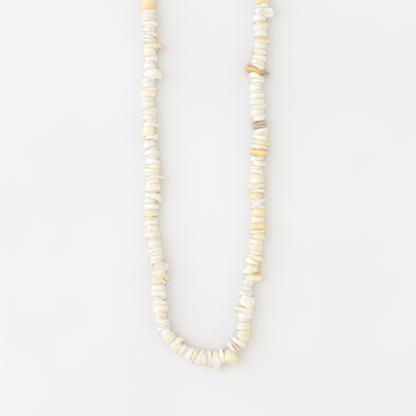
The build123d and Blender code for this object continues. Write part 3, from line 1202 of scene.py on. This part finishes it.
@dataclass
class ShellString:
    """All the shells on the thread: two nodes of plain ones, and those that stand out.

    Attributes:
        plain: The nodes of plain shells.
        left: Shells that stand out on the left strand, from its top.
        bottom: Shells that stand out in the bend.
        right: Shells that stand out on the right strand, from its foot.
        seed: Seed of the shells' tints.
    """

    plain: tuple[WornShells, ...] = (
        WornShells("white_shells", WHITE_SHELL, Wear.STRUNG),
        WornShells("cream_shells", CREAM_SHELL, Wear.STRUNG),
    )
    left: tuple[WornShells, ...] = (
        WornShells("left_yellow_block", YELLOW_DEEP, Wear.BLOCK),
        WornShells("left_tan_sliver", TAN_SLIVER, Wear.BLADE, taper=0.9),
        WornShells("left_clear_round", CREAM_CLEAR, Wear.PEBBLE),
        WornShells("left_peach_block", PEACH_LAYERED, Wear.BLOCK),
        WornShells("left_yellow_cube", YELLOW_PALE, Wear.BLOCK),
        WornShells("left_orange_nub", ORANGE_TO_CREAM, Wear.BLOCK, taper=0.6),
        WornShells("left_tan_wing", TAN_PALE, Wear.BLADE),
        WornShells("left_peach_wedge", PEACH_LAYERED, Wear.BLOCK),
        WornShells("left_gold_round", GOLD_DULL, Wear.PEBBLE),
        WornShells("left_orange_sliver", ORANGE_LINE, Wear.BLADE, taper=-0.6),
        WornShells("left_clear_bump", TAN_CLEAR, Wear.PEBBLE),
        WornShells("left_yellow_chip", YELLOW_BLOCK, Wear.BLOCK),
        WornShells("left_orange_chip", TAN_LAYERED, Wear.BLOCK),
    )
    bottom: tuple[WornShells, ...] = (
        WornShells("bottom_yellow_corner", YELLOW_PALE, Wear.BLOCK),
        WornShells("bottom_striped_chip", ORANGE_STRIPED, Wear.BLOCK),
        WornShells("bottom_cream_drop", TAN_TO_CREAM, Wear.PEBBLE),
        WornShells("bottom_gold_round", GOLD_PALE, Wear.PEBBLE),
        WornShells("bottom_brown_stripe", BROWN_STRIPED, Wear.BLOCK),
        WornShells("bottom_gold_wedge", GOLD_PALE, Wear.BLOCK),
    )
    right: tuple[WornShells, ...] = (
        WornShells("right_cream_wing", CREAM_TO_GOLD, Wear.BLADE, taper=-0.7),
        WornShells("right_clear_rim", CREAM_RIMMED, Wear.PEBBLE),
        WornShells("right_orange_tilt", ORANGE_LAYERED, Wear.BLOCK, taper=-0.6),
        WornShells("right_orange_low", ORANGE_LAYERED, Wear.BLOCK),
        WornShells("right_gold_low", GOLD_BRIGHT, Wear.BLOCK),
        WornShells("right_peach_chip", YELLOW_PALE, Wear.BLOCK),
        WornShells("right_gold_round", GOLD_BRIGHT, Wear.PEBBLE),
        WornShells("right_orange_block", ORANGE_FOOT, Wear.BLOCK),
        WornShells("right_yellow_chip", YELLOW_FOOT, Wear.BLOCK),
        WornShells("right_brown_yellow", BROWN_SPOTTED, Wear.BLOCK),
        WornShells("right_tan_lens", TAN_SOFT, Wear.PEBBLE),
        WornShells("right_orange_diagonal", ORANGE_LAYERED, Wear.BLOCK),
        WornShells("right_amber_lens", AMBER_CLEAR, Wear.BLADE, taper=-0.35),
        WornShells("right_yellow_lens", GOLD_BRIGHT, Wear.PEBBLE),
        WornShells("right_brown_banded", BROWN_BANDED, Wear.BLOCK, taper=-0.45),
        WornShells("right_amber_wing", AMBER_DARK, Wear.BLADE, taper=0.5, skew=-0.15),
        WornShells("right_grey_round", GREY_SPOTTED, Wear.PEBBLE),
        WornShells("right_tan_wide", GOLD_TO_CREAM, Wear.BLOCK),
        WornShells("right_orange_brown", ORANGE_PATCH, Wear.BLOCK),
        WornShells("right_clear_disc", CLEAR_RIMMED, Wear.PEBBLE, dish=1.2 * MM, inward=0.4),
        WornShells("right_yellow_top", YELLOW_TOP, Wear.BLOCK),
    )
    seed: int = 11

    def build(self) -> None:
        """Models and dresses every shell."""
        guide = StringGuide()
        draw = Random(self.seed)
        for shells in (*self.plain, *self.left, *self.bottom, *self.right):
            piece = shells.build(guide, draw)
            shells.dress(piece)
            LOG.info("%s: %d faces", piece.name, len(piece.data.polygons))


@dataclass(frozen=True)
class SurfaceMarks:
    """Fine marks that stand in relief on a patchy surface.

    Attributes:
        strength: How strongly they show.
        height: Their height.
        scale: Their scale, per metre, or None where the patches themselves stand in relief.
        detail: How many finer noises their noise holds.
        drawn: How close they lie along each direction, as a share of their scale.
    """

    strength: float
    height: float
    scale: float | None = None
    detail: float = 3.0
    drawn: tuple[float, float, float] = (1.0, 0.03, 0.03)

    def normal(self, bench: Bench, spot: bpy.types.NodeSocket,
               patches: bpy.types.NodeSocket) -> bpy.types.NodeSocket:
        """The surface's direction with the marks in it.

        Args:
            bench: The material's bench.
            spot: The place on the piece.
            patches: The patches' noise.

        Returns:
            The socket with the normal.
        """
        marks = patches
        if self.scale:
            drawn = bench.add("ShaderNodeMapping", {"Vector": spot, "Scale": self.drawn})
            marks = bench.noise(drawn.outputs[0], self.scale, self.detail)
        bump = bench.add("ShaderNodeBump", {"Strength": self.strength, "Distance": self.height,
                                            "Height": marks})
        return bump.outputs[0]


@dataclass(frozen=True)
class PatchyFinish:
    """A finish of two tones that pass softly into each other.

    Attributes:
        name: The material's name.
        light: Colour of the light patches.
        dark: Colour of the dark ones.
        scale: Scale of the patches, per metre.
        detail: How many finer noises the patches' noise holds.
        dark_to: Noise value up to which a patch is wholly dark.
        light_from: Noise value from which a patch is wholly light.
        rough: Roughness of the dark patches.
        smooth: Roughness of the light ones.
        rough_to: Noise value up to which a patch has the dark patches' roughness.
        smooth_from: Noise value from which it has the light ones' roughness.
        marks: The marks on the surface, where it has any.
        metal: 1 for metal and 0 for any other stuff.
    """

    name: str
    light: Tone
    dark: Tone
    scale: float
    detail: float = 2.0
    dark_to: float = 0.35
    light_from: float = 0.6
    rough: float = 0.85
    smooth: float = 0.85
    rough_to: float = 0.3
    smooth_from: float = 0.7
    marks: SurfaceMarks | None = None
    metal: float = 0.0

    def material(self) -> bpy.types.Material:
        """The finish's material.

        Returns:
            The new material.
        """
        made, bench, shader = open_material(self.name)
        spot = bench.object_place()
        patches = bench.noise(spot, self.scale, self.detail)
        tones = ((self.dark_to, self.dark), (self.light_from, self.light))
        bench.feed(shader.inputs["Base Color"], bench.ramp(patches, tones))
        roughness = self.rough
        if self.smooth != self.rough:
            roughness = bench.spread(patches, self.rough_to, self.smooth_from, self.rough,
                                     self.smooth)
        bench.feed(shader.inputs["Roughness"], roughness)
        if self.marks:
            bench.feed(shader.inputs["Normal"], self.marks.normal(bench, spot, patches))
        shader.inputs["Metallic"].default_value = self.metal
        return made


WAXED_CORD = PatchyFinish(
    "waxed_cord", light=tone(236, 230, 214), dark=tone(196, 184, 158), scale=2400.0,
    rough=0.75, smooth=0.5, marks=SurfaceMarks(strength=0.6, height=0.05 * MM),
)
PLATED_BARREL = PatchyFinish(
    "plated_barrel", light=tone(226, 222, 212), dark=tone(188, 180, 162), scale=700.0, detail=4.0,
    rough=0.42, smooth=0.22, marks=SurfaceMarks(strength=0.35, height=0.02 * MM, scale=5200.0),
    metal=1.0,
)
PALE_TABLE = PatchyFinish(
    "pale_table", light=tone(240, 241, 242), dark=tone(238, 238, 239), scale=14.0, light_from=0.65,
)


@dataclass
class Thread:
    """The cord through the shells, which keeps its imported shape.

    Attributes:
        node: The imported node.
        finish: The cord's finish.
    """

    node: str = "thread"
    finish: PatchyFinish = WAXED_CORD

    def build(self) -> None:
        """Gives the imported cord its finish."""
        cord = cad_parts[self.node]
        for place in cord.material_slots:
            place.material = self.finish.material()
        LOG.info("%s: %d faces", cord.name, len(cord.data.polygons))


@dataclass
class Clasp:
    """The barrel clasp: two halves that meet at a seam, and a small collar at each end.

    Attributes:
        node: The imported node.
        collar: Length of a collar.
        collar_radius: Its radius.
        bore: Radius of the thread's hole.
        bore_depth: How far the hole goes in.
        crown: How far the barrel thins towards its ends.
        seam: Half width of the groove at the middle.
        seam_depth: Its depth.
        rings: Places of the rings of edges that bend the barrel, as shares of its half length.
        edge: Rounding of the edges.
        rounded: Angle from which an edge is rounded.
        smooth: Angle up to which the barrel is shaded smooth.
        sides: Flats round the barrel.
        finish: The metal's finish.
    """

    node: str = "clasp"
    collar: float = 1.5 * MM
    collar_radius: float = 1.7 * MM
    bore: float = 0.7 * MM
    bore_depth: float = 2.5 * MM
    crown: float = 0.25 * MM
    seam: float = 0.16 * MM
    seam_depth: float = 0.18 * MM
    rings: tuple[float, ...] = (-0.75, -0.4, 0.4, 0.75)
    edge: float = 0.14 * MM
    rounded: float = radians(35)
    smooth: float = radians(40)
    sides: int = 40
    finish: PatchyFinish = PLATED_BARREL

    def build(self) -> None:
        """Models the barrel from a cylinder along X, and dresses it."""
        low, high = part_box(self.node)
        middle = (low + high) / 2
        radius = (high.z - low.z) / 2
        half = (high.x - low.x) / 2 - self.collar
        bpy.ops.object.select_all(action="DESELECT")
        bpy.ops.mesh.primitive_cylinder_add(vertices=self.sides, radius=radius, depth=2 * half,
                                            end_fill_type="NGON", location=middle,
                                            rotation=(0, pi / 2, 0))
        piece = bpy.context.active_object
        piece.name = "barrel_clasp"
        bpy.ops.object.transform_apply(location=True, rotation=True, scale=True)
        edit(piece)
        for share in self.rings:
            self.cut(middle + Vector((share * half, 0, 0)))
        for place in (-1, -2, 1, 2):
            self.cut(middle + Vector((place * self.seam, 0, 0)))
        bpy.ops.object.mode_set(mode="OBJECT")
        self.swell(piece, middle, half, radius)
        for side in (-1, 1):
            self.end(piece, side, radius)
        apply_modifier(piece, "edges", "BEVEL", width=self.edge, segments=2, limit_method="ANGLE",
                       angle_limit=self.rounded)
        bpy.ops.object.shade_smooth_by_angle(angle=self.smooth)
        piece.data.materials.append(self.finish.material())
        hand_over(piece, self.node)
        LOG.info("%s: %d faces", piece.name, len(piece.data.polygons))

    def cut(self, spot: Vector) -> None:
        """Cuts a ring of edges round the open barrel, across X at a spot."""
        bpy.ops.mesh.select_all(action="SELECT")
        bpy.ops.mesh.bisect(plane_co=spot, plane_no=(1, 0, 0))

    def swell(self, piece: bpy.types.Object, middle: Vector, half: float, radius: float) -> None:
        """Thins the barrel towards its ends and sinks the seam.

        Args:
            piece: The barrel.
            middle: Its middle.
            half: Half its length without the collars.
            radius: Its radius at the middle.
        """
        for vertex in piece.data.vertices:
            offset = vertex.co - middle
            thinner = self.crown * (offset.x / half) ** 2
            if abs(offset.x) < 1.5 * self.seam:  # the two rings in the seam
                thinner = self.seam_depth
            share = 1 - thinner / radius
            vertex.co = middle + Vector((offset.x, offset.y * share, offset.z * share))

    def end(self, piece: bpy.types.Object, side: int, radius: float) -> None:
        """Draws a collar out of one end face, and sinks the thread's hole into it.

        Args:
            piece: The barrel.
            side: -1 for the left end and 1 for the right end.
            radius: The barrel's radius at its middle.
        """
        square = [face for face in piece.data.polygons if abs(face.normal.x) > FACING]
        last = max(square, key=lambda face: side * face.center.x).index
        for face in piece.data.polygons:
            face.select = face.index == last
        end_radius = radius - self.crown
        edit(piece)
        bpy.ops.mesh.select_mode(type="FACE")
        for margin, run in ((end_radius - self.collar_radius, side * self.collar),
                            (self.collar_radius - self.bore, -side * self.bore_depth)):
            bpy.ops.mesh.inset(thickness=margin)
            bpy.ops.mesh.extrude_region_move(TRANSFORM_OT_translate={"value": (run, 0, 0)})
        bpy.ops.object.mode_set(mode="OBJECT")


@dataclass
class Table:
    """The plain table top that the necklace lies on.

    Attributes:
        size: Its side.
        drop: How far its top lies under the necklace's lowest point.
        finish: Its finish.
    """

    size: float = 6.0
    drop: float = 0.02 * MM
    finish: PatchyFinish = PALE_TABLE

    def build(self) -> None:
        """Lays the table top."""
        bpy.ops.object.select_all(action="DESELECT")
        bpy.ops.mesh.primitive_plane_add(size=self.size, location=(0, 0, -self.drop))
        top = bpy.context.active_object
        top.name = "table_top"
        top.data.materials.append(self.finish.material())


@dataclass(frozen=True)
class SoftBox:
    """A square studio light that faces the necklace.

    Attributes:
        name: The light's name.
        bearing: Where it stands, in degrees round from +X towards +Y.
        rise: Its height in degrees above the table.
        distance: How far it stands off.
        size: Its side.
        power: Its power in watts.
        color: Its colour.
    """

    name: str
    bearing: float
    rise: float
    distance: float
    size: float
    power: float
    color: tuple[float, float, float] = (1.0, 1.0, 1.0)

    def build(self, target: Vector) -> None:
        """Sets the light up, turned to a target.

        Args:
            target: The point that it faces.
        """
        turn, lift = radians(self.bearing), radians(self.rise)
        away = Vector((cos(turn) * cos(lift), sin(turn) * cos(lift), sin(lift)))
        bpy.ops.object.select_all(action="DESELECT")
        bpy.ops.object.light_add(type="AREA", location=target + away * self.distance,
                                 rotation=away.to_track_quat("Z", "Y").to_euler())
        light = bpy.context.active_object
        light.name = self.name
        light.data.shape = "SQUARE"
        light.data.size = self.size
        light.data.energy = self.power
        light.data.color = self.color


@dataclass
class Studio:
    """The camera straight above the necklace's lower part, and soft light from the left.

    Attributes:
        target: The table's point at the middle of the view.
        width: How much of the table the view is across.
        height: The camera's height over the table.
        sensor: Width of the camera's sensor in millimetres.
        sight: How far the camera sees.
        sky: Strength of the light from all round.
        sky_color: Its colour.
        walls: Strength of the pale studio walls that glossy surfaces mirror.
        lights: The soft boxes.
    """

    target: Vector = field(default_factory=lambda: Vector((0.400, -37.795, 0.0)) * MM)
    width: float = 174.72 * MM
    height: float = 0.9
    sensor: float = 36.0
    sight: float = 20.0
    sky: float = 0.785
    sky_color: Tone = (1.0, 0.975, 0.93, 1.0)
    walls: float = 0.75
    lights: tuple[SoftBox, ...] = (
        SoftBox("top_light", bearing=150, rise=80, distance=1.2, size=0.45, power=1.3,
                color=(1.0, 0.96, 0.90)),
        SoftBox("key_light", bearing=168, rise=35, distance=1.4, size=1.1, power=5.8,
                color=(0.87, 1.0, 1.29)),
        SoftBox("fill_light", bearing=-30, rise=20, distance=1.4, size=1.0, power=2.0,
                color=(1.0, 0.88, 0.66)),
    )

    def build(self) -> None:
        """Sets up the camera, the sky and the lights."""
        bpy.ops.object.select_all(action="DESELECT")
        bpy.ops.object.camera_add(location=self.target + Vector((0, 0, self.height)),
                                  rotation=Euler())
        camera = bpy.context.active_object
        camera.data.sensor_width = self.sensor
        camera.data.lens = self.sensor * self.height / self.width
        camera.data.clip_end = self.sight
        scene = bpy.context.scene
        scene.camera = camera
        scene.view_settings.view_transform = "Standard"
        scene.world = bpy.data.worlds.new("soft_sky")
        scene.world.use_nodes = True
        bench = Bench(scene.world.node_tree)
        background = scene.world.node_tree.nodes["Background"]
        background.inputs["Color"].default_value = self.sky_color
        glossy = bench.add("ShaderNodeLightPath").outputs["Is Glossy Ray"]
        strength = bench.spread(glossy, 0.0, 1.0, self.sky, self.walls)
        bench.feed(background.inputs["Strength"], strength)
        for light in self.lights:
            light.build(self.target)


def main() -> None:
    """Builds the studio, the table and the necklace."""
    logging.basicConfig(level=logging.INFO, format="%(message)s")
    for part in (Studio(), Table(), Thread(), Clasp(), ShellString()):
        part.build()
        LOG.info("%s is built", type(part).__name__)


if __name__ == "__main__":
    main()
